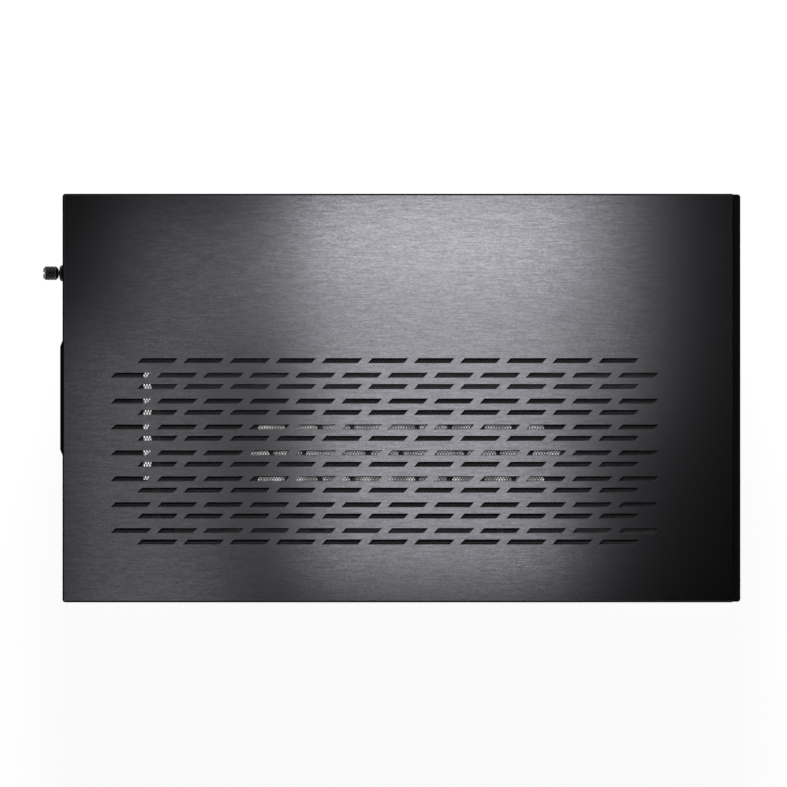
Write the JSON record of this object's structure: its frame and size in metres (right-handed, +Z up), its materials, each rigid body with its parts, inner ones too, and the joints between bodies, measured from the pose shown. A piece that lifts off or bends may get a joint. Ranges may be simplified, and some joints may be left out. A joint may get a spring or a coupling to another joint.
{
  "type": "computer tower case",
  "caption": "Dual-chamber tower case with a slotted lift-off top, a tempered-glass side and front, a folded steel side and a fan-ready steel frame.",
  "frame": {"origin": "centre of the whole footprint, rear thumbscrew included, on the surface that the feet stand on", "axes": "+X to the front, -Y the glass side, +Y the steel side, +Z up"},
  "size_m": [0.4846, 0.284, 0.513],
  "materials": {
    "brushed_top": "black anodised, brushed along the case",
    "band_aluminium": "black anodised, brushed",
    "black_steel": "fine textured black",
    "grey_steel": "satin grey",
    "glass_rail": "satin black",
    "tinted_glass": "grey tinted, tempered",
    "black_plastic": "matte black",
    "filter_mesh": "fine woven mesh",
    "button_metal": "black anodised, turned",
    "light_pipe": "clear, frosted",
    "board_green": "black green solder mask",
    "black_rubber": "matte",
    "brass": "turned",
    "screw_steel": "blackened steel",
    "stud_steel": "zinc plated"
  },
  "bodies": {
    "chassis": {"audio_jacks": "black_plastic", "cable_grommets": "black_rubber", "drive_cage": "black_steel", "feet": "band_aluminium", "filter_guides": "black_steel", "floor_pan": "black_steel", "foot_pads": "black_rubber", "front_bulkhead": "black_steel", "front_glass": "tinted_glass", "front_glass_rails": "glass_rail", "front_header": "black_steel", "front_sill": "black_steel", "front_sill_trim": "band_aluminium", "front_strip": "band_aluminium", "front_top_trim": "band_aluminium", "io_board": "board_green", "left_header": "black_steel", "left_sill": "black_steel", "left_skirt": "band_aluminium", "motherboard_tray": "black_steel", "panel_sockets": "black_plastic", "power_led": "light_pipe", "psu_bracket": "black_steel", "psu_pads": "black_rubber", "rear_fan_grille": "black_steel", "rear_panel": "black_steel", "right_header": "black_steel", "right_sill": "black_steel", "right_skirt": "band_aluminium", "side_fan_bracket": "black_steel", "slot_covers": "black_steel", "slot_rail": "black_steel", "slot_screws": "screw_steel", "ssd_plates": "black_steel", "standoffs": "brass", "top_fan_bracket": "grey_steel", "top_frame": "black_steel", "usb_a_ports": "black_plastic", "usb_c_port": "black_plastic"},
    "top_panel": {"top_plate": "brushed_top", "top_carrier": "black_steel", "top_mesh": "filter_mesh", "top_studs": "stud_steel", "screw_ferrule": "screw_steel"},
    "thumbscrew_body": {"thumbscrew": "screw_steel"},
    "glass_panel": {"side_glass": "tinted_glass", "side_glass_rails": "glass_rail", "side_glass_studs": "stud_steel"},
    "steel_panel": {"right_panel": "black_steel", "right_panel_studs": "stud_steel", "side_filter_frame": "black_plastic", "side_filter_mesh": "filter_mesh"},
    "floor_filter": {"bottom_filter_frame": "black_plastic", "bottom_filter_mesh": "filter_mesh"},
    "power_button_body": {"power_button": "button_metal"},
    "reset_button_body": {"reset_button": "button_metal"},
    "inner_caddy_body": {"inner_caddy": "black_plastic"},
    "outer_caddy_body": {"outer_caddy": "black_plastic"}
  },
  "joints": [
    {"name": "top_panel_lift", "type": "slide", "parent": "chassis", "child": "top_panel", "axis": [0, 0, 1], "range_m": [0, 0.06]},
    {"name": "glass_panel_pull", "type": "slide", "parent": "chassis", "child": "glass_panel", "axis": [0, -1, 0], "range_m": [0, 0.12]},
    {"name": "steel_panel_pull", "type": "slide", "parent": "chassis", "child": "steel_panel", "axis": [0, 1, 0], "range_m": [0, 0.12]},
    {"name": "floor_filter_slide", "type": "slide", "parent": "chassis", "child": "floor_filter", "axis": [0, -1, 0], "range_m": [0, 0.15]},
    {"name": "inner_caddy_slide", "type": "slide", "parent": "chassis", "child": "inner_caddy_body", "axis": [1, 0, 0], "range_m": [0, 0.15]},
    {"name": "outer_caddy_slide", "type": "slide", "parent": "chassis", "child": "outer_caddy_body", "axis": [1, 0, 0], "range_m": [0, 0.15]},
    {"name": "power_press", "type": "slide", "parent": "chassis", "child": "power_button_body", "axis": [-1, 0, 0], "range_m": [0, 0.0012], "stiffness_N_per_m": 600},
    {"name": "reset_press", "type": "slide", "parent": "chassis", "child": "reset_button_body", "axis": [-1, 0, 0], "range_m": [0, 0.0008], "stiffness_N_per_m": 600},
    {"name": "thumbscrew_turn", "type": "hinge", "parent": "top_panel", "child": "thumbscrew_body", "pos_m": [-0.22865, 0.0869, 0.5046], "axis": [1, 0, 0], "continuous": true}
  ]
}
